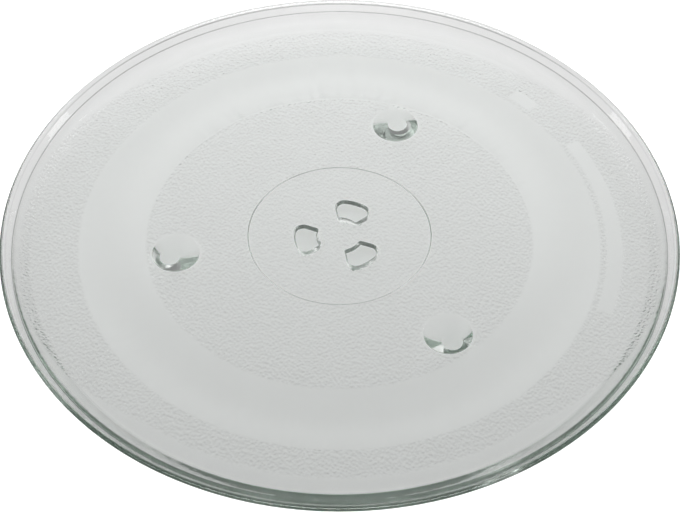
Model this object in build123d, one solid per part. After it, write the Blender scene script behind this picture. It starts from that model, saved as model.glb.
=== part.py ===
from build123d import *
import math
import os

# Turntable plate of a microwave oven: one pressing of tempered glass.
# Millimetres, +Z up. The plate's axis is Z, and it stands on its three feet at Z = 0.

# Base and roller track
plate_diameter = 315.0
base_thickness = 6.3
foot_drop = 4.5                # the feet reach this far below the roller track
track_mean_diameter = 212.7    # circle that the roller ring's wheels run on
track_width = 30.5
track_proud = 0.3              # the smooth track stands this far below the stippled fields
centre_disc_diameter = 85.8    # an insert of the mould, which leaves a fine round step
centre_disc_proud = 0.2

# Rim
cove_rise = 0.6                # the base curves up by this much before the lip's crease
cove_radius = 50.0
lip_width = 5.15
lip_rise = 4.5
edge_radius = 1.2              # full round on the lip's edge
lip_under_angle = 46.0         # slope of the lip's outer face, measured from level
bevel_width = 13.4             # the level underside ends this far inside the plate's edge
bevel_angle = 23.0             # slope of the underside from there to the lip
bevel_round = 5.0
bend_round = 12.0              # bend of the underside between bevel and lip

# Feet: solid cones under the base, the first on the +Y axis
foot_count = 3
foot_circle_diameter = 154.0   # circle that the middles of the feet's roots lie on
foot_root_diameter = 22.4
foot_pad_diameter = 9.4
foot_pad_shift = 3.2           # each pad lies this far further out than its root
foot_root_round = 0.8
foot_pad_round = 0.6

# Lugs: the wings of the oven's drive coupler sit between them, one lug in line with each foot
lug_height = 4.2
lug_inner_radius = 10.2        # leaves room for the coupler's hub
lug_outer_radius = 21.6
lug_nose_width = 9.2
lug_flank_angle = 31.0         # each flank leans this far from the lug's centre line
lug_nose_round = 1.2
lug_shoulder_round = 4.5
lug_draft = 8.0
lug_tip_round = 0.6

# Heights and radii that follow
plate_radius = plate_diameter / 2
track_z = foot_drop
field_z = track_z + track_proud
disc_z = field_z - centre_disc_proud
top_z = track_z + base_thickness
rim_z = top_z + cove_rise + lip_rise
land_seat = base_thickness / 2     # depth to which the lands reach up into the base
first_angle = 90.0


def uphill(angle):
    """Direction of a run that climbs outwards at an angle from level."""
    return Vector(math.cos(math.radians(angle)), math.sin(math.radians(angle)))


def tray():
    """Base and rim, turned about the plate's axis from their half section."""
    lip_inner = Vector(plate_radius - lip_width, top_z + cove_rise)
    cove_run = math.sqrt(cove_radius**2 - (cove_radius - cove_rise) ** 2)
    cove_start = Vector(lip_inner.X - cove_run, top_z)

    # The lip's upper face leaves its crease and runs onto the round edge along a tangent.
    edge_centre = Vector(plate_radius - edge_radius, rim_z - edge_radius)
    to_edge = edge_centre - lip_inner
    lip_angle = math.atan2(to_edge.Y, to_edge.X) + math.asin(edge_radius / to_edge.length)
    lip_end = edge_centre + Vector(-math.sin(lip_angle), math.cos(lip_angle)) * edge_radius

    # Below the edge the lip's outer face runs down to meet the bevel of the underside.
    lip_slope, bevel_slope = uphill(lip_under_angle), uphill(bevel_angle)
    lip_under = edge_centre + Vector(lip_slope.Y, -lip_slope.X) * edge_radius
    bevel_foot = Vector(plate_radius - bevel_width, field_z)
    gap = lip_under - bevel_foot
    across = bevel_slope.X * lip_slope.Y - bevel_slope.Y * lip_slope.X
    bend = bevel_foot + bevel_slope * ((gap.X * lip_slope.Y - gap.Y * lip_slope.X) / across)

    # Both corners of the underside are rounded by tangent arcs.
    foot_reach = bevel_round * math.tan(math.radians(bevel_angle) / 2)
    bend_reach = bend_round * math.tan(math.radians(lip_under_angle - bevel_angle) / 2)
    bevel_start, bevel_low = bevel_foot - Vector(foot_reach, 0), bevel_foot + bevel_slope * foot_reach
    bevel_high, lip_foot = bend - bevel_slope * bend_reach, bend + lip_slope * bend_reach

    with BuildPart() as body:
        with BuildSketch(Plane.XZ):
            with BuildLine():
                Line((0, field_z), (0, top_z))
                Line((0, top_z), cove_start)
                TangentArc(cove_start, lip_inner, tangent=(1, 0))
                Line(lip_inner, lip_end)
                ThreePointArc(lip_end, (plate_radius, edge_centre.Y), lip_under)
                Line(lip_under, lip_foot)
                TangentArc(bevel_high, lip_foot, tangent=bevel_slope)
                Line(bevel_high, bevel_low)
                TangentArc(bevel_start, bevel_low, tangent=(1, 0))
                Line(bevel_start, (0, field_z))
            make_face()
        revolve(axis=Axis.Z)
    return body.part


def roller_track():
    """The smooth ring that the rollers run on, a little proud of the stippled fields."""
    with BuildPart() as land:
        with BuildSketch(Plane.XY.offset(track_z)):
            Circle((track_mean_diameter + track_width) / 2)
            Circle((track_mean_diameter - track_width) / 2, mode=Mode.SUBTRACT)
        extrude(amount=land_seat)
    return land.part


def foot():
    """One foot, a leaning cone with a gentle inner side, carried on up into the base."""
    seat_z = field_z + land_seat
    widening = seat_z / field_z
    pad_radius = foot_pad_diameter / 2
    seat_radius = pad_radius + (foot_root_diameter / 2 - pad_radius) * widening
    seat_shift = foot_pad_shift * (1 - widening)
    with BuildPart() as cone:
        with BuildSketch(Plane.XY):
            with Locations((foot_pad_shift, 0)):
                Circle(pad_radius)
        with BuildSketch(Plane.XY.offset(seat_z)):
            with Locations((seat_shift, 0)):
                Circle(seat_radius)
        loft(ruled=True)
        fillet(cone.faces().sort_by(Axis.Z)[0].edges(), foot_pad_round)
    return cone.part


def lug_outline():
    """Plan of the lug that lies along +X: hollow nose, straight flanks, round outer side."""
    half_nose = lug_nose_width / 2
    nose_x = math.sqrt(lug_inner_radius**2 - half_nose**2)
    lean = math.radians(lug_flank_angle)
    along = nose_x * math.cos(lean) + half_nose * math.sin(lean)
    flank = math.sqrt(along**2 + lug_outer_radius**2 - lug_inner_radius**2) - along
    shoulder_x = nose_x + flank * math.cos(lean)
    shoulder_y = half_nose + flank * math.sin(lean)
    with BuildSketch() as outline:
        with BuildLine():
            ThreePointArc((nose_x, -half_nose), (lug_inner_radius, 0), (nose_x, half_nose))
            Line((nose_x, half_nose), (shoulder_x, shoulder_y))
            ThreePointArc((shoulder_x, shoulder_y), (lug_outer_radius, 0), (shoulder_x, -shoulder_y))
            Line((shoulder_x, -shoulder_y), (nose_x, -half_nose))
        make_face()
        fillet(outline.vertices().group_by(Axis.X)[-1], lug_shoulder_round)
        fillet(outline.vertices().group_by(Axis.X)[0], lug_nose_round)
    return outline.sketch


def lug():
    """One drive lug, drawn down from the centre disc with draft and a rounded tip."""
    with BuildPart() as block:
        with BuildSketch(Plane.XY.offset(disc_z)):
            add(lug_outline())
        extrude(amount=-lug_height, taper=lug_draft)
        fillet(block.faces().sort_by(Axis.Z)[0].edges(), lug_tip_round)
    return block.part


def centre_disc():
    """The mould insert's disc with its three drive lugs."""
    with BuildPart() as insert:
        with BuildSketch(Plane.XY.offset(disc_z)):
            Circle(centre_disc_diameter / 2)
        extrude(amount=land_seat)
        with PolarLocations(0, foot_count, start_angle=first_angle):
            add(lug())
    return insert.part


def turntable_plate():
    """The whole pressing: tray and feet, then roller track and centre disc."""
    with BuildPart() as plate:
        add(tray())
        with PolarLocations(foot_circle_diameter / 2, foot_count, start_angle=first_angle):
            add(foot())
        fillet(plate.edges(Select.NEW), foot_root_round)
        add(roller_track())
        add(centre_disc())
    return plate.part


os.makedirs("parts", exist_ok=True)
plate = turntable_plate()
export_step(plate, "parts/turntable_plate.step")
print("turntable_plate: volume %.1f cm3, height %.1f mm" % (plate.volume / 1000, plate.bounding_box().size.Z))
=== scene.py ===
# %% [markdown]
# # A glass turntable plate
# This lesson dresses one pressed-glass turntable plate from a microwave oven. The plate is a
# single piece, so there is one mesh to make, and nearly everything that the eye sees is light bent
# by that mesh. Glass shows both of its faces at once: the plain top, and through it the underside
# with its roller track, three feet, drive lugs and pebbled fields.
# The imported model is loaded first.

# %% The frame that everything sits in
import math

import bmesh
import bpy
import numpy as np
from mathutils import Matrix, Vector
from mathutils.geometry import delaunay_2d_cdt


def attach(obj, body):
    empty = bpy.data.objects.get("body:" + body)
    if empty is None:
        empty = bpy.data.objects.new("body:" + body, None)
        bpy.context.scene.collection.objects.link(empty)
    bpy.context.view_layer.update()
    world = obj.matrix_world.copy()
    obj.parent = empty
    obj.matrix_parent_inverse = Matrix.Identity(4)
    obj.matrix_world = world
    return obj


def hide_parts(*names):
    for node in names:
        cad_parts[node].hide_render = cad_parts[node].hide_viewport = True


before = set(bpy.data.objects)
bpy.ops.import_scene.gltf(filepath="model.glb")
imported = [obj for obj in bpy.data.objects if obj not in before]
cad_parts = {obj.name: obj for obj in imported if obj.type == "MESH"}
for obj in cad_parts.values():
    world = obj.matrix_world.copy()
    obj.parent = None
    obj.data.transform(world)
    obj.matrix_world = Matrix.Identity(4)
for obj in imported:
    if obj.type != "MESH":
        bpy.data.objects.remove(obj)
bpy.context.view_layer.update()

scene = bpy.context.scene
scene.view_settings.view_transform = "Standard"
MM = 0.001

# %% [markdown]
# ## Sizes
# All sizes are in millimetres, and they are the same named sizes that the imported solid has. A
# pressed plate is drawn as a half section that is turned about the axis, so most of these values
# are heights and radii of that section. The feet and the lugs stand on their own circles.

# %% Sizes of the plate
plate_radius = 157.5
foot_drop = 4.5
base_thickness = 6.3
track_proud = 0.3
track_inner = 91.1
track_outer = 121.6
disc_radius = 42.9
disc_proud = 0.2

track_z = foot_drop
field_z = track_z + track_proud
disc_z = field_z - disc_proud
top_z = track_z + base_thickness

cove_rise = 0.6
cove_radius = 50.0
lip_width = 5.15
lip_rise = 4.5
edge_radius = 1.2
lip_under_angle = math.radians(46.0)
bevel_width = 13.4
bevel_angle = math.radians(23.0)
bevel_round = 5.0
bend_round = 12.0

foot_count = 3
foot_circle = 77.0
first_angle = math.radians(90.0)
foot_angles = [first_angle + math.tau * i / foot_count for i in range(foot_count)]
print("top of the base at %.1f mm, rim at %.1f mm" % (top_z, top_z + cove_rise + lip_rise))

# %% [markdown]
# ## Camera
# The plate fills the picture from edge to edge. The outline, the crease inside the lip, the track
# and the central circle are four ellipses, and together they fix the camera: how high it looks
# down, how far away it stands and how long its lens is. The camera stands at an azimuth of 21
# degrees, so that the first foot comes out above and to the right of the middle.

# %% Camera
view_azimuth = math.radians(21.0)
view_elevation = math.radians(49.14)
view_distance = 800.0
focal_pixels = 1730.6
picture_width = 680
sensor_width = 36.0
view_turn = Matrix.Rotation(view_azimuth, 4, "Z")


def from_view(x, y, z):
    """A point given right, away from and above the plate's middle as the camera sees it."""
    return view_turn @ Vector((x, y, z)) * MM


lens = bpy.data.cameras.new("camera")
lens.sensor_width = sensor_width
lens.lens = focal_pixels / picture_width * sensor_width
lens.clip_start = 0.01
camera = bpy.data.objects.new("camera", lens)
scene.collection.objects.link(camera)
scene.camera = camera
aim = from_view(0.19, -16.23, top_z - 0.65)
look = view_turn.to_3x3() @ Vector((0, math.cos(view_elevation), -math.sin(view_elevation)))
camera.location = aim - look * view_distance * MM
camera.rotation_euler = look.to_track_quat("-Z", "Y").to_euler()
print("camera at", [round(v, 3) for v in camera.location], "lens %.1f mm" % lens.lens)

# %% [markdown]
# ## Half sections
# A turned form could be drawn as a curve and spun by a modifier. Here the section is worked out
# as points, because the rings then fall exactly where the section changes, and the same helper
# draws the rim and the feet: straight runs whose corners are rounded by tangent arcs.

# %% Helper: straight runs with rounded corners
def rounded(corners, radii, steps):
    """Points along the corners, each inner corner rounded by its radius."""
    path = [np.array(corners[0], float)]
    for before, corner, after, radius in zip(corners, corners[1:], corners[2:], radii):
        corner = np.array(corner, float)
        back = np.array(before, float) - corner
        on = np.array(after, float) - corner
        back /= np.linalg.norm(back)
        on /= np.linalg.norm(on)
        half = math.acos(np.clip(back @ on, -1, 1)) / 2
        centre = corner + (back + on) / np.linalg.norm(back + on) * radius / math.sin(half)
        start = corner + back * radius / math.tan(half) - centre
        sweep = math.pi - 2 * half
        turn = math.copysign(sweep, start[0] * on[1] - start[1] * on[0])
        for share in np.linspace(0, 1, steps):
            c, s = math.cos(turn * share), math.sin(turn * share)
            path.append(centre + np.array((c * start[0] - s * start[1], s * start[0] + c * start[1])))
    path.append(np.array(corners[-1], float))
    return path


def divided(start, end, count):
    """Points that divide a straight run, its start left out."""
    start, end = np.array(start, float), np.array(end, float)
    return [start + (end - start) * i / count for i in range(1, count + 1)]


def arc(centre, radius, from_angle, to_angle, count):
    """Points along an arc, its start left out."""
    angles = np.linspace(from_angle, to_angle, count + 1)[1:]
    return [np.array((centre[0] + radius * math.cos(a), centre[1] + radius * math.sin(a))) for a in angles]


# %% [markdown]
# ## Rim
# From the flat base the rim rises in a gentle cove to a sharp crease, runs up a sloping lip, turns
# over a full round edge and comes down the lip's outer face to a bend and a long bevel that lead
# into the underside. The bevel mirrors the light from inside, which is the dark green band at the
# near side. Two parts of the mould met at the crease and left a fine ridge there, and a fine line
# runs round near the lip's edge. Both are drawn dark with painted shade in the glass colour. These
# few millimetres bend the light most, so they get the closest rings.

# %% Rim section
lip_inner = np.array((plate_radius - lip_width, top_z + cove_rise))
cove_turn = math.acos((cove_radius - cove_rise) / cove_radius)
cove_start = np.array((lip_inner[0] - cove_radius * math.sin(cove_turn), top_z))
edge_centre = np.array((plate_radius - edge_radius, top_z + cove_rise + lip_rise - edge_radius))
to_edge = edge_centre - lip_inner
lip_angle = math.atan2(to_edge[1], to_edge[0]) + math.asin(edge_radius / np.hypot(*to_edge))
lip_end = edge_centre + edge_radius * np.array((-math.sin(lip_angle), math.cos(lip_angle)))
lip_slope = np.array((math.cos(lip_under_angle), math.sin(lip_under_angle)))
bevel_slope = np.array((math.cos(bevel_angle), math.sin(bevel_angle)))
lip_under = edge_centre + edge_radius * np.array((lip_slope[1], -lip_slope[0]))
bevel_foot = np.array((plate_radius - bevel_width, field_z))
bevel_length, _ = np.linalg.solve(np.array((bevel_slope, -lip_slope)).T, lip_under - bevel_foot)
bend = bevel_foot + bevel_slope * bevel_length

quarter = math.pi / 2
ridge_half, ridge_height = 0.45, 0.2
# The line near the lip's edge is no step in the glass: its ring only carries painted shade and a matt
# finish.
line_inside, line_half = 0.9, 0.5
lip_first_run = 1.0
cove_steps, edge_steps, lip_face_steps, bevel_steps = 5, 12, 3, 11
corner_points = 5


def seam_ridge(place, back, on):
    """Three points of the fine ridge that two parts of the mould leave where they meet."""
    back, on = back / np.hypot(*back), on / np.hypot(*on)
    out = np.array((back[1] - on[1], on[0] - back[0]))
    return [place + back * ridge_half, place + out / np.hypot(*out) * ridge_height, place + on * ridge_half]


rim = [cove_start]
rim += arc((cove_start[0], top_z + cove_radius), cove_radius, -quarter, cove_turn - quarter, cove_steps)
rim[-1:] = seam_ridge(lip_inner, rim[-2] - lip_inner, lip_end - lip_inner)
crease_ring = len(rim) - 2
lip_length = np.hypot(*(lip_end - rim[-1]))
line_at = lip_length - line_inside
lip_marks = [lip_first_run, line_at - line_half, line_at, line_at + line_half, lip_length]
rim += [rim[-1] + (lip_end - rim[-1]) * mark / lip_length for mark in lip_marks]
lip_ring = len(rim) - 3
rim += arc(edge_centre, edge_radius, lip_angle + quarter, lip_under_angle - quarter, edge_steps)
under_ring = len(rim)
under_path = rounded([lip_under, bend, bevel_foot, (0, field_z)], [bend_round, bevel_round], corner_points)
bend_arc = under_path[1:1 + corner_points]
foot_arc = under_path[1 + corner_points:1 + 2 * corner_points]
rim += divided(lip_under, bend_arc[0], lip_face_steps) + bend_arc[1:]
rim += divided(bend_arc[-1], foot_arc[0], bevel_steps) + foot_arc[1:]
curve_start = rim[-1]
print("rim: %d rings, bevel from r %.1f to r %.1f" % (len(rim), curve_start[0], bend[0]))

# %% [markdown]
# ## Feet
# The plate stands on three solid feet when it is out of the oven. Each is a blunt cone that leans:
# its pad lies further out than its root, so the side that faces the axis is a gentle ramp and the
# outer side is steep. The slope that faces the viewer reflects like a mirror from inside, and that
# is the grey crescent on each foot. A leaning cone is still a set of circles, each with its own centre.

# %% Section of a foot
foot_root_radius = 11.2
foot_pad_radius = 4.7
foot_pad_shift = 3.2
foot_pad_round, foot_root_round = 0.6, 0.8
foot_corner_points = 6
past_root = 3.0
foot = rounded([(0, 0), (foot_pad_radius, 0), (foot_root_radius, field_z),
                (foot_root_radius + past_root, field_z)],
               [foot_pad_round, foot_root_round], foot_corner_points)[1:-1]
foot_reach = foot[-1][0]


def foot_centre(angle, height):
    """Centre of a foot's circle at a height: the foot leans outwards on its way down."""
    reach = foot_circle + foot_pad_shift * (1 - height / field_z)
    return np.array((math.cos(angle), math.sin(angle))) * reach


print("foot %.1f mm across at its root, %d circles" % (2 * foot_reach, len(foot)))

# %% [markdown]
# ## Lugs
# Three lugs under the middle take the wings of the oven's coupler between them. A lug has a hollow
# nose that clears the coupler's hub, flanks that spread at 31 degrees, and a round back. It is
# drawn here for any inset, because the pressing draft and the rounded tip are only the same
# outline drawn a little smaller, further down.

# %% Lug outline
lug_height = 4.2
lug_inner_radius = 10.2
lug_outer_radius = 21.6
lug_nose_width = 9.2
lug_flank = math.radians(31.0)
lug_nose_round = 1.2
lug_shoulder_round = 4.5
lug_draft = math.radians(8.0)
lug_tip_round = 0.6
nose_steps, corner_steps, flank_steps, shoulder_steps, back_steps = 8, 5, 10, 7, 14


def on_circle(reach, from_point, along):
    """Where a line from a point meets the circle of that radius about the plate's axis."""
    b = from_point @ along
    return from_point + along * (math.sqrt(b * b - from_point @ from_point + reach**2) - b)


def lug_outline(inset):
    """Closed loop of points for a lug along +X, drawn in by the inset."""
    along = np.array((math.cos(lug_flank), math.sin(lug_flank)))
    inward = np.array((along[1], -along[0]))
    half_nose = lug_nose_width / 2
    flank_start = np.array((math.sqrt(lug_inner_radius**2 - half_nose**2), half_nose)) + inward * inset
    nose, shoulder = lug_nose_round - inset, lug_shoulder_round - inset
    nose_reach, back_reach = lug_inner_radius + inset, lug_outer_radius - inset
    nose_centre = on_circle(nose_reach + nose, flank_start + inward * nose, along)
    back_centre = on_circle(back_reach - shoulder, flank_start + inward * shoulder, along)
    nose_angle = math.atan2(nose_centre[1], nose_centre[0])
    back_angle = math.atan2(back_centre[1], back_centre[0])
    flank_side = math.atan2(-inward[1], -inward[0])
    half = [np.array((nose_reach, 0.0))]
    half += arc((0, 0), nose_reach, 0, nose_angle, nose_steps)
    half += arc(nose_centre, nose, nose_angle + math.pi, flank_side, corner_steps)
    half += divided(nose_centre - inward * nose, back_centre - inward * shoulder, flank_steps)
    half += arc(back_centre, shoulder, flank_side, back_angle, shoulder_steps)
    half += arc((0, 0), back_reach, back_angle, 0, back_steps)
    return np.array(half + [p * (1, -1) for p in half[-2:0:-1]])


draft_run = lug_height * math.tan(lug_draft)
tip_run = lug_tip_round * math.tan((quarter - lug_draft) / 2)
lug_side = [(0, 0), (draft_run, lug_height), (draft_run + 2 * tip_run, lug_height)]
lug_steps = [(0.0, 0.0)] + [tuple(step) for step in rounded(lug_side, [lug_tip_round], corner_steps)[1:-1]]
print("lug: %d points round, %d steps down" % (len(lug_outline(0.0)), len(lug_steps)))

# %% [markdown]
# ## Filling a face
# The top and the underside are each a flat field with islands in it. Every island is a set of
# closed loops, and a Delaunay triangulation fills the plane between them: it keeps the loops as
# edges and joins everything else with well-shaped triangles. A boolean could cut the same forms,
# but it would leave no control over the points that the pebbles need later.

# %% Helper: loops and loose points to triangles
class Face:
    """Points with heights, and the loops that must stay edges."""

    def __init__(self):
        self.flat, self.heights, self.edges = [], [], []

    def loop(self, points, height):
        first, count = len(self.flat), len(points)
        self.flat += [Vector(p) for p in points]
        self.heights += [height] * count
        self.edges += [(first + i, first + (i + 1) % count) for i in range(count)]

    def ring(self, radius, height, count, centre=(0.0, 0.0)):
        turns = np.arange(count) * math.tau / count
        self.loop(np.c_[centre[0] + radius * np.cos(turns), centre[1] + radius * np.sin(turns)], height)

    def loose(self, points, height):
        self.flat += [Vector(p) for p in points]
        self.heights += [height] * len(points)

    def triangles(self):
        found = delaunay_2d_cdt(self.flat, self.edges, [], 0, 1e-5)
        assert len(found[0]) == len(self.flat), "loops cross"
        self.flat = np.array([tuple(p) for p in self.flat])
        given = [origin[0] for origin in found[3]]
        return [[given[v] for v in face] for face in found[2]]


# %% Top face: the plain base
rim_count = 760
cove_margin = 0.6
top = Face()
top.ring(cove_start[0], top_z, rim_count)
for radius, count in ((cove_start[0] - cove_margin, rim_count), (120.0, 320), (80.0, 160), (40.0, 80)):
    top.ring(radius, top_z, count)
top.loose([(0.0, 0.0)], top_z)
top_faces = top.triangles()
print("top: %d points, %d triangles" % (len(top.flat), len(top_faces)))

# %% [markdown]
# ## Underside
# The track stands three tenths of a millimetre proud of the pebbled fields and eases into them.
# Round the central disc the mould left a fine raised seam. Between the loops the fields are sown
# with loose points on a jittered honeycomb, close enough to carry the pebbles. The track, the feet
# and the lugs get none.

# %% Underside: loops
step_run = 1.2
seam_run = 0.3
seam_proud = 0.12
disc_points, inner_points, outer_points, foot_points = 240, 400, 480, 72
turned_section = [(disc_radius - seam_run, disc_z, disc_points),
                  (disc_radius, disc_z - seam_proud, disc_points),
                  (disc_radius + seam_run, field_z, disc_points),
                  (track_inner - step_run, field_z, inner_points), (track_inner, track_z, inner_points),
                  (track_outer, track_z, outer_points), (track_outer + step_run, field_z, outer_points)]
under = Face()
under.ring(curve_start[0], field_z, rim_count)
for radius, height, count in turned_section:
    under.ring(radius, height, count)
for angle in foot_angles:
    for radius, height in foot:
        under.ring(radius, height, foot_points, foot_centre(angle, height))
    under.loose([foot_centre(angle, 0.0)], 0.0)
    turned = np.array(((math.cos(angle), math.sin(angle)), (-math.sin(angle), math.cos(angle))))
    for inset, down in lug_steps:
        under.loop(lug_outline(inset) @ turned, disc_z - down)

# %% Underside: loose points for the pebbles
point_spacing = 0.9
jitter_share, margin_share = 0.25, 0.55
lug_surround = 16
jitter = np.random.default_rng(7)
rows = np.arange(-curve_start[0], curve_start[0], point_spacing * math.sqrt(0.75))
across = np.arange(-curve_start[0], curve_start[0], point_spacing)
grid = np.array([(x + (i % 2) * point_spacing / 2, y) for i, y in enumerate(rows) for x in across])
grid += jitter.uniform(-jitter_share, jitter_share, grid.shape) * point_spacing
from_axis = np.hypot(*grid.T)
margin = margin_share * point_spacing
outline = [lug_outline(0.0) @ np.array(((math.cos(a), math.sin(a)), (-math.sin(a), math.cos(a))))
           for a in foot_angles]


def away_from(points, loop):
    """Distance of each point from the nearest corner of a loop, negative inside it."""
    gap = np.full(len(points), 1e9)
    inside = np.zeros(len(points), bool)
    for (ax, ay), (bx, by) in zip(loop, np.roll(loop, -1, axis=0)):
        gap = np.minimum(gap, np.hypot(points[:, 0] - ax, points[:, 1] - ay))
        crosses = (ay > points[:, 1]) != (by > points[:, 1])
        with np.errstate(divide="ignore", invalid="ignore"):
            inside ^= crosses & (points[:, 0] < (bx - ax) * (points[:, 1] - ay) / (by - ay) + ax)
    return np.where(inside, -gap, gap)


in_outer = (from_axis > track_outer + step_run + margin) & (from_axis < curve_start[0] - margin)
in_inner = (from_axis > disc_radius + seam_run + margin) & (from_axis < track_inner - step_run - margin)
in_disc = from_axis < disc_radius - seam_run - margin
for angle in foot_angles:
    in_inner &= np.hypot(*(grid - foot_centre(angle, field_z)).T) > foot_reach + margin
for loop in outline:
    near = np.hypot(*(grid - loop.mean(0)).T) < lug_surround
    clear = np.ones(len(grid), bool)
    clear[near] = away_from(grid[near], loop) > margin
    in_disc &= clear
under.loose(grid[in_outer | in_inner], field_z)
under.loose(grid[in_disc], disc_z)
under_faces = under.triangles()
print("underside: %d points, %d triangles" % (len(under.flat), len(under_faces)))

# %% [markdown]
# ## One closed mesh
# The rim's first ring is the top's outer loop and its last ring is the underside's, so the three
# parts share those points and the glass closes. Only the crease, the fine steps and the feet of
# the lugs are real edges on the plate. They are marked sharp, and all the rest is shaded smooth.

# %% Joining the faces
turns = np.arange(rim_count) * math.tau / rim_count
points = [np.c_[top.flat, top.heights]]
faces = [list(f) for f in top_faces]
ring_first = [0]
total = len(top.flat)
for radius, height in rim[1:-1]:
    points.append(np.c_[radius * np.cos(turns), radius * np.sin(turns), np.full(rim_count, height)])
    ring_first.append(total)
    total += rim_count
ring_first.append(total)
points.append(np.c_[under.flat, under.heights])
faces += [[total + v for v in f] for f in under_faces]
for inner, outer in zip(ring_first, ring_first[1:]):
    for i in range(rim_count):
        j = (i + 1) % rim_count
        faces.append([inner + i, inner + j, outer + j, outer + i])
points = np.concatenate(points)
under_first = total

body = bpy.data.meshes.new("plate_form")
body.from_pydata((points * MM).tolist(), [], faces)
work = bmesh.new()
work.from_mesh(body)
bmesh.ops.recalc_face_normals(work, faces=work.faces)
sharp_turn = math.radians(20)
for edge in work.edges:
    edge.smooth = edge.calc_face_angle(0) < sharp_turn
for face in work.faces:
    face.smooth = True
open_edges = sum(1 for edge in work.edges if not edge.is_manifold)
volume = work.calc_volume(signed=True)
work.to_mesh(body)
work.free()
print("plate: %d points, %d open edges, %.1f cm3" % (len(points), open_edges, volume / MM**3 / 1000))

# %% [markdown]
# ## Where the pebbles are
# The mould's fields are pebbled, and the track, the feet, the lugs and one long arc near the rim
# are polished. The share of pebbling is kept on the points as an attribute that fades over a
# millimetre at each border. Towards the rim the pebbles end unevenly: at two sides they run out
# over the bevel, and elsewhere they stop short of it. A second attribute says how far the points
# are really moved, which is less on the bevel. A third one marks the seams.

# %% Pebble share of each point
def faded(distance, width=1.0):
    """0 at a border, 1 from the width on."""
    return np.clip(distance / width, 0, 1)


border, foot_border, edge_border = 0.8, 1.2, 2.0
disc_pebbling = 0.8
field_reach, near_short, far_short = 150.5, 13.0, 9.0
side_start, side_run = 0.6, 0.35
lug_clear = 0.2

from_axis = np.hypot(points[:, 0], points[:, 1])
bearing = np.arctan2(points[:, 1], points[:, 0])
share = np.zeros(len(points))
sideways = faded(np.abs(np.cos(bearing - view_azimuth)) - side_start, side_run)
near_side = np.sin(bearing - view_azimuth) < 0
field_edge = field_reach - (1 - sideways) * np.where(near_side, near_short, far_short)
edge_fade = faded(field_edge - from_axis, edge_border)
field_outer = faded(from_axis - track_outer, step_run) * edge_fade
field_inner = faded(from_axis - disc_radius - seam_run, border) * faded(track_inner - from_axis, step_run)
disc_share = disc_pebbling * faded(disc_radius - seam_run - from_axis, border)
below = np.arange(len(points)) >= under_first
share[below] = np.maximum(np.maximum(field_outer, field_inner), disc_share)[below]
on_under_rings = slice(ring_first[under_ring], under_first)
share[on_under_rings] = edge_fade[on_under_rings]
for angle in foot_angles:
    gap = np.hypot(*(points[:, :2] - foot_centre(angle, field_z)).T) - foot_reach
    share *= faded(gap, foot_border)
for loop in outline:
    near = below & (np.hypot(*(points[:, :2] - loop.mean(0)).T) < lug_surround + 2)
    share[near] *= faded(away_from(points[near, :2], loop) - lug_clear, border)

# %% Bare strip, bevel and seams
strip_radius, strip_half_width = 128.6, 3.3
for strip_middle, strip_half_angle in ((24.0, 24.5), (65.0, 3.0)):
    past_side = np.abs(from_axis - strip_radius) - strip_half_width
    past_end = np.abs(bearing - math.radians(strip_middle)) - math.radians(strip_half_angle)
    share *= faded(np.maximum(past_side, past_end * strip_radius), border)

bevel_from, streak_from, bend_from, bend_to = curve_start[0] - 3.5, 143.5, 148.0, 152.8
bend_border = 1.5
bevel_push, streak_push, bend_push = 0.45, 0.1, 0.9
line_loss = 0.8
streaks = streak_push + bend_push * faded(from_axis - bend_from, bend_border) * sideways
streaks *= faded(from_axis - streak_from) * faded(bend_to - from_axis)
underneath = np.arange(len(points)) >= ring_first[under_ring]
push_share = np.where((from_axis > bevel_from) & underneath, bevel_push * share + streaks, share)
# The seams are matt, and painted shade darkens them in the glass colour.
seam = np.where(below & (np.abs(from_axis - disc_radius) < seam_run / 2), 1.0, 0.0)
# The crease and the line near the lip's edge get painted shade too; the line's painted shade is weaker at
# the left and right of the view.
for ring, strength in ((crease_ring, 1.0), (lip_ring, 1 - line_loss * sideways)):
    on_ring = slice(ring_first[ring], ring_first[ring] + rim_count)
    seam[on_ring] = np.broadcast_to(strength, len(points))[on_ring]
for name, values in (("pebble_share", share), ("pebble_push", push_share), ("seam_matt_and_painted_shade", seam)):
    body.attributes.new(name, "FLOAT", "POINT").data.foreach_set("value", values.astype(np.float32))
print("pebbled points: %d, on seams: %d" % ((share > 0).sum(), (seam > 0).sum()))

# %% [markdown]
# ## Writing node trees
# Node trees are easiest to read as formulas. One small class holds an output socket and lets
# Python's own signs add Math nodes, and one method adds every other kind of node: first its
# settings, then the values or links of its sockets.

# %% Helper: formulas and nodes
class Term:
    """An output socket on which sums can be written."""

    def __init__(self, wires, socket):
        self.wires, self.socket = wires, socket

    def sum(self, operation, first, second):
        return self.wires.term("ShaderNodeMath", {"operation": operation}, {0: first, 1: second})

    def __add__(self, other):
        return self.sum("ADD", self, other)

    def __radd__(self, other):
        return self.sum("ADD", other, self)

    def __sub__(self, other):
        return self.sum("SUBTRACT", self, other)

    def __rsub__(self, other):
        return self.sum("SUBTRACT", other, self)

    def __mul__(self, other):
        return self.sum("MULTIPLY", self, other)

    def __rmul__(self, other):
        return self.sum("MULTIPLY", other, self)

    def __truediv__(self, other):
        return self.sum("DIVIDE", self, other)

    def __rtruediv__(self, other):
        return self.sum("DIVIDE", other, self)


class Wires:
    """A node tree that is written node by node."""

    def __init__(self, tree):
        self.tree = tree
        tree.nodes.clear()

    def add(self, kind, settings=None, sockets=None):
        node = self.tree.nodes.new(kind)
        for name, value in (settings or {}).items():
            setattr(node, name, value)
        for name, value in (sockets or {}).items():
            if isinstance(value, Term):
                value = value.socket
            if isinstance(value, bpy.types.NodeSocket):
                self.tree.links.new(value, node.inputs[name])
            else:
                node.inputs[name].default_value = value
        return node

    def term(self, kind, settings=None, sockets=None, output=0):
        return Term(self, self.add(kind, settings, sockets).outputs[output])
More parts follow.
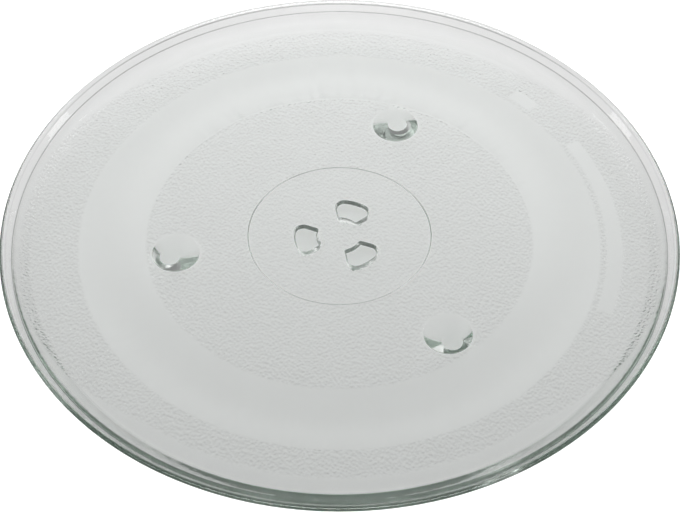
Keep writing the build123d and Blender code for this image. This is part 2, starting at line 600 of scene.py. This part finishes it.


# %% [markdown]
# ## Glass
# The plate is soda-lime glass. Its colour comes from its depth, not from its surface: light that
# runs a long way inside the rim turns a soft grey green, while the base looks nearly clear. So the
# surface is fully transmitting and the volume absorbs. Its colour is white except for painted light
# and shade. The shadow lets light through, as glass does, by standing in plain transparency for
# shadow rays. The moulded fields are a trace less polished than the track and the top, and the
# polish wanders a little all over. The pebbled fields are darkened a little with painted shade, and
# painted caustics lie over them: the light that each pebble would gather on one side and lack on the
# other is painted into the surface colour, as the difference of one noise at two places shifted
# towards the back lamp. The seams are matt, and painted shade holds back most of their light.

# %% Glass material
# Painted light and shade in the glass colour: the pebbled fields are painted a little darker, painted
# caustics add pale and dark pairs, and the seams are painted dark.
pebble_painted_shade, painted_caustic_contrast, seam_painted_shade = 0.08, 0.45, 0.9
pebble_rough, seam_rough, wander_rough = 0.06, 0.3, 0.02
grain_depth, painted_caustic_offset = 0.2 * MM, 0.45 * MM
glass = bpy.data.materials.new("pressed_glass")
glass.use_nodes = True
wires = Wires(glass.node_tree)
place = wires.term("ShaderNodeTexCoord", output="Object")
pebbled = wires.term("ShaderNodeAttribute", {"attribute_name": "pebble_share"}, output="Fac")
wander = wires.term("ShaderNodeTexNoise", None, {"Vector": place, "Scale": 60.0, "Detail": 2.0}, "Fac")
grain = wires.term("ShaderNodeTexNoise", {"noise_dimensions": "2D"},
                   {"Vector": place, "Scale": 800.0, "Detail": 1.0, "Roughness": 0.4}, "Fac")
pebble_bump = wires.term("ShaderNodeBump", None, {
    "Strength": 1.0, "Distance": grain_depth, "Height": grain * pebbled}, "Normal")
seam_matt_and_shade = wires.term("ShaderNodeAttribute", {"attribute_name": "seam_matt_and_painted_shade"}, output="Fac")
# Painted caustics: one noise taken at two places shifted towards the back lamp, their difference painted
# into the colour as pale and dark.
painted_caustic_shift = view_turn.to_3x3() @ Vector((0.0, painted_caustic_offset, 0.0))
painted_caustic_noises = []
for side in (1, -1):
    shifted = wires.term("ShaderNodeVectorMath", {"operation": "ADD"}, {0: place, 1: painted_caustic_shift * side})
    painted_caustic_noises.append(wires.term("ShaderNodeTexNoise", {"noise_dimensions": "2D"},
                               {"Vector": shifted, "Scale": 700.0, "Detail": 1.0}, "Fac"))
painted_caustic_shade = pebble_painted_shade + painted_caustic_contrast * (painted_caustic_noises[0] - painted_caustic_noises[1])
# The glass colour: white but for the painted light and shade of the pebbles and the seams.
painted_light_tint = (1 - pebbled * painted_caustic_shade) * (1 - seam_painted_shade * seam_matt_and_shade)
shader = wires.add("ShaderNodeBsdfPrincipled", None, {
    "Normal": pebble_bump,
    "Base Color": wires.term("ShaderNodeCombineColor", None, {0: painted_light_tint, 1: painted_light_tint, 2: painted_light_tint}),
    "Transmission Weight": 1.0,
    "IOR": 1.52,
    "Roughness": pebbled * pebble_rough + seam_matt_and_shade * seam_rough + wander * wander_rough,
})
shade = wires.add("ShaderNodeBsdfTransparent", None, {"Color": (0.95, 0.952, 0.95, 1.0)})
ray = wires.add("ShaderNodeLightPath")
both = wires.add("ShaderNodeMixShader", None, {
    0: ray.outputs["Is Shadow Ray"], 1: shader.outputs[0], 2: shade.outputs[0]})
depth = wires.add("ShaderNodeVolumeAbsorption", None, {"Color": (0.31, 0.455, 0.36, 1.0), "Density": 8.5})
wires.add("ShaderNodeOutputMaterial", None, {"Surface": both.outputs[0], "Volume": depth.outputs[0]})
print("glass:", len(glass.node_tree.nodes), "nodes")

# %% [markdown]
# ## Pebbled fields
# The pebbles are irregular, run into each other and are about two millimetres across. Bump in the
# material could fake them, but glass shows real slopes by bending what lies behind, so the points
# are really moved. A small Geometry Nodes tree does it: cells of a Voronoi pattern, drawn out by a
# noise, push the underside up and down by a tenth of a millimetre or so, as far as the points' own
# share says.

# %% Pebble tree
drift_scale, drift_reach, patch_scale = 0.33, 2.2, 0.06
cell_middle, patch_low, patch_gain = 0.42, 0.35, 1.3
pebbles = bpy.data.node_groups.new("pebbled_underside", "GeometryNodeTree")
socket_of = {}
for name, kind in (("Geometry", "NodeSocketGeometry"), ("Pebble Size", "NodeSocketFloat"),
                   ("Pebble Depth", "NodeSocketFloat"), ("Seed", "NodeSocketFloat"),
                   ("Glass", "NodeSocketMaterial")):
    socket_of[name] = pebbles.interface.new_socket(name=name, in_out="INPUT", socket_type=kind)
pebbles.interface.new_socket(name="Geometry", in_out="OUTPUT", socket_type="NodeSocketGeometry")
wires = Wires(pebbles)
given = wires.add("NodeGroupInput").outputs
size, deep, seed = (Term(wires, given[n]) for n in ("Pebble Size", "Pebble Depth", "Seed"))

spot = wires.add("ShaderNodeSeparateXYZ", None, {0: wires.term("GeometryNodeInputPosition")}).outputs
spread = [Term(wires, spot[0]) / size, Term(wires, spot[1]) / size]
plan = wires.term("ShaderNodeCombineXYZ", None, {0: spread[0], 1: spread[1], 2: seed})
drift = wires.term("ShaderNodeTexNoise", None,
                   {"Vector": plan, "Scale": drift_scale, "Detail": 1.0}, "Color")
drawn = wires.term("ShaderNodeVectorMath", {"operation": "MULTIPLY_ADD"},
                   {0: drift, 1: (drift_reach, drift_reach, 0.0), 2: plan})
cells = wires.term("ShaderNodeTexVoronoi", {"voronoi_dimensions": "2D", "feature": "F1"},
                   {"Vector": drawn, "Scale": 1.0}, "Distance")
patch = wires.term("ShaderNodeTexNoise", None,
                   {"Vector": plan, "Scale": patch_scale, "Detail": 1.0}, "Fac")
share_of = wires.term("GeometryNodeInputNamedAttribute", {"data_type": "FLOAT"}, {"Name": "pebble_push"})
push = (cells - cell_middle) * deep * share_of * (patch_low + patch_gain * patch)
moved = wires.add("GeometryNodeSetPosition", None, {
    "Geometry": given["Geometry"], "Offset": wires.term("ShaderNodeCombineXYZ", None, {2: push})})
real = wires.add("GeometryNodeRealizeInstances", None, {0: moved.outputs[0]})
clad = wires.add("GeometryNodeSetMaterial", None, {
    "Geometry": real.outputs[0], "Material": given["Glass"]})
wires.add("NodeGroupOutput", None, {0: clad.outputs[0]})

# %% Plate
source = bpy.data.objects.new("plate_source", body)
scene.collection.objects.link(source)
pressing = source.modifiers.new("pebbles", "NODES")
pressing.node_group = pebbles
for name, value in (("Pebble Size", 1.7 * MM), ("Pebble Depth", 0.15 * MM), ("Seed", 3.0),
                    ("Glass", glass)):
    pressing[socket_of[name].identifier] = value
seen = bpy.context.evaluated_depsgraph_get()
plate_mesh = bpy.data.meshes.new_from_object(source.evaluated_get(seen))
plate_mesh.name = "turntable_plate_glass"
source.modifiers.remove(pressing)
bpy.data.objects.remove(source)
plate = bpy.data.objects.new("turntable_plate_glass", plate_mesh)
scene.collection.objects.link(plate)
plate_mesh.calc_loop_triangles()
print("plate: %d triangles, material %s" % (len(plate_mesh.loop_triangles), plate_mesh.materials[0].name))

# %% [markdown]
# ## Stage
# The plate lies on a pale floor under soft light. The floor's colour holds a painted pool of light:
# palest under the plate and darker round it. The floor is lit from behind the plate, so that the
# base grades from pale at the far side to grey at the near side.
# What the camera sees of the floor directly is lifted to white. The room is only there to be
# mirrored and seen through the glass, so light that the floor has scattered finds it dim.

# %% Floor
floor_mesh = bpy.data.meshes.new("floor")
reach = 3.0
floor_z = -0.3 * MM
seen_lift, through_lift = 0.8, 0.03
painted_pool_from, painted_pool_to, painted_pool_shift = 150 * MM, 170 * MM, -14
painted_pool_under, painted_pool_around = 0.9, 0.72
floor_mesh.from_pydata([(-reach, -reach, floor_z), (reach, -reach, floor_z),
                        (reach, reach, floor_z), (-reach, reach, floor_z)], [], [(0, 1, 2, 3)])
floor = bpy.data.objects.new("floor", floor_mesh)
scene.collection.objects.link(floor)
paper = bpy.data.materials.new("floor_with_painted_pool")
paper.use_nodes = True
wires = Wires(paper.node_tree)
ray = wires.add("ShaderNodeLightPath").outputs
seen_direct, seen_through = (Term(wires, ray[n]) for n in ("Is Camera Ray", "Is Transmission Ray"))
lift = seen_lift * seen_direct + through_lift * seen_through
spot = wires.term("ShaderNodeTexCoord", output="Object")
off_axis = wires.add("ShaderNodeVectorMath", {"operation": "DISTANCE"},
                     {0: spot, 1: from_view(0, painted_pool_shift, 0)}).outputs["Value"]
# Painted pool of light: the floor colour is palest under the plate and darker round it.
pale = wires.term("ShaderNodeMapRange", {"interpolation_type": "SMOOTHSTEP"}, {
    "Value": off_axis, "From Min": painted_pool_from, "From Max": painted_pool_to,
    "To Min": painted_pool_under, "To Max": painted_pool_around})
matt = wires.add("ShaderNodeBsdfDiffuse", None, {
    "Color": wires.term("ShaderNodeCombineColor", None, {0: pale, 1: pale, 2: pale})})
glow = wires.add("ShaderNodeEmission", None, {"Strength": lift})
sum_of = wires.add("ShaderNodeAddShader", None, {0: matt.outputs[0], 1: glow.outputs[0]})
wires.add("ShaderNodeOutputMaterial", None, {"Surface": sum_of.outputs[0]})
floor_mesh.materials.append(paper)

# %% Room light
room_level, low_level, band_level, front_level, scattered_level = 0.3, 0.8, 1.0, 11.0, 0.06
world = bpy.data.worlds.new("soft_room")
scene.world = world
world.use_nodes = True
wires = Wires(world.node_tree)
facing = wires.term("ShaderNodeTexCoord", output="Generated")
away = view_turn.to_3x3() @ Vector((0, 1, 0))
ahead = wires.add("ShaderNodeVectorMath", {"operation": "DOT_PRODUCT"},
                  {0: facing, 1: away}).outputs["Value"]
height = wires.add("ShaderNodeSeparateXYZ", None, {0: facing}).outputs[2]


def eased(value, start, end):
    """A soft step from 0 to 1 between two values."""
    return wires.term("ShaderNodeMapRange", {"interpolation_type": "SMOOTHSTEP"},
                      {"Value": value, "From Min": start, "From Max": end})


behind = eased(ahead, -0.6, 0.5)
band = eased(height, 0.35, 0.66) * (1 - eased(height, 0.66, 0.86))
front = (1 - eased(ahead, -0.6, -0.1)) * eased(height, 0.5, 0.7)
bright = room_level + behind * (low_level * (1 - eased(height, 0.3, 0.8)) + band_level * band)
ray = wires.add("ShaderNodeLightPath").outputs
scattered = wires.term("ShaderNodeMath", {"operation": "MINIMUM"}, {0: ray["Diffuse Depth"], 1: 1.0})
mirrored = Term(wires, ray["Is Glossy Ray"]) * (1 - Term(wires, ray["Is Transmission Ray"]))
level = scattered * scattered_level + (1 - scattered) * (bright + front_level * front * mirrored)
room = wires.add("ShaderNodeBackground", None, {"Strength": level})
wires.add("ShaderNodeOutputWorld", None, {0: room.outputs[0]})


# %% Lamps
def soft_box(name, place, width, height, power):
    """An area lamp that looks at the plate's middle."""
    lamp = bpy.data.lights.new(name, "AREA")
    lamp.shape = "RECTANGLE"
    lamp.size, lamp.size_y, lamp.energy = width, height, power
    holder = bpy.data.objects.new(name, lamp)
    scene.collection.objects.link(holder)
    holder.location = from_view(*place)
    holder.rotation_euler = (-holder.location).to_track_quat("-Z", "Y").to_euler()
    return holder


sky_light = soft_box("sky_light", (0, 700, 600), 0.9, 0.7, 11.2)
sky_light.visible_glossy = False
sky_light.visible_transmission = False
soft_box("left_light", (-1000, 500, 1000), 0.4, 0.4, 1.5)
soft_box("right_light", (1000, 500, 1000), 0.4, 0.4, 1.5)
scene.cycles.max_bounces = 32
scene.cycles.transmission_bounces = 32
scene.cycles.glossy_bounces = 16
print("stage: floor, room and", len(bpy.data.lights), "soft boxes")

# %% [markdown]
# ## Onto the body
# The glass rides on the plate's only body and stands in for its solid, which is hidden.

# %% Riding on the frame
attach(plate, "root")
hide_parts("turntable_plate")
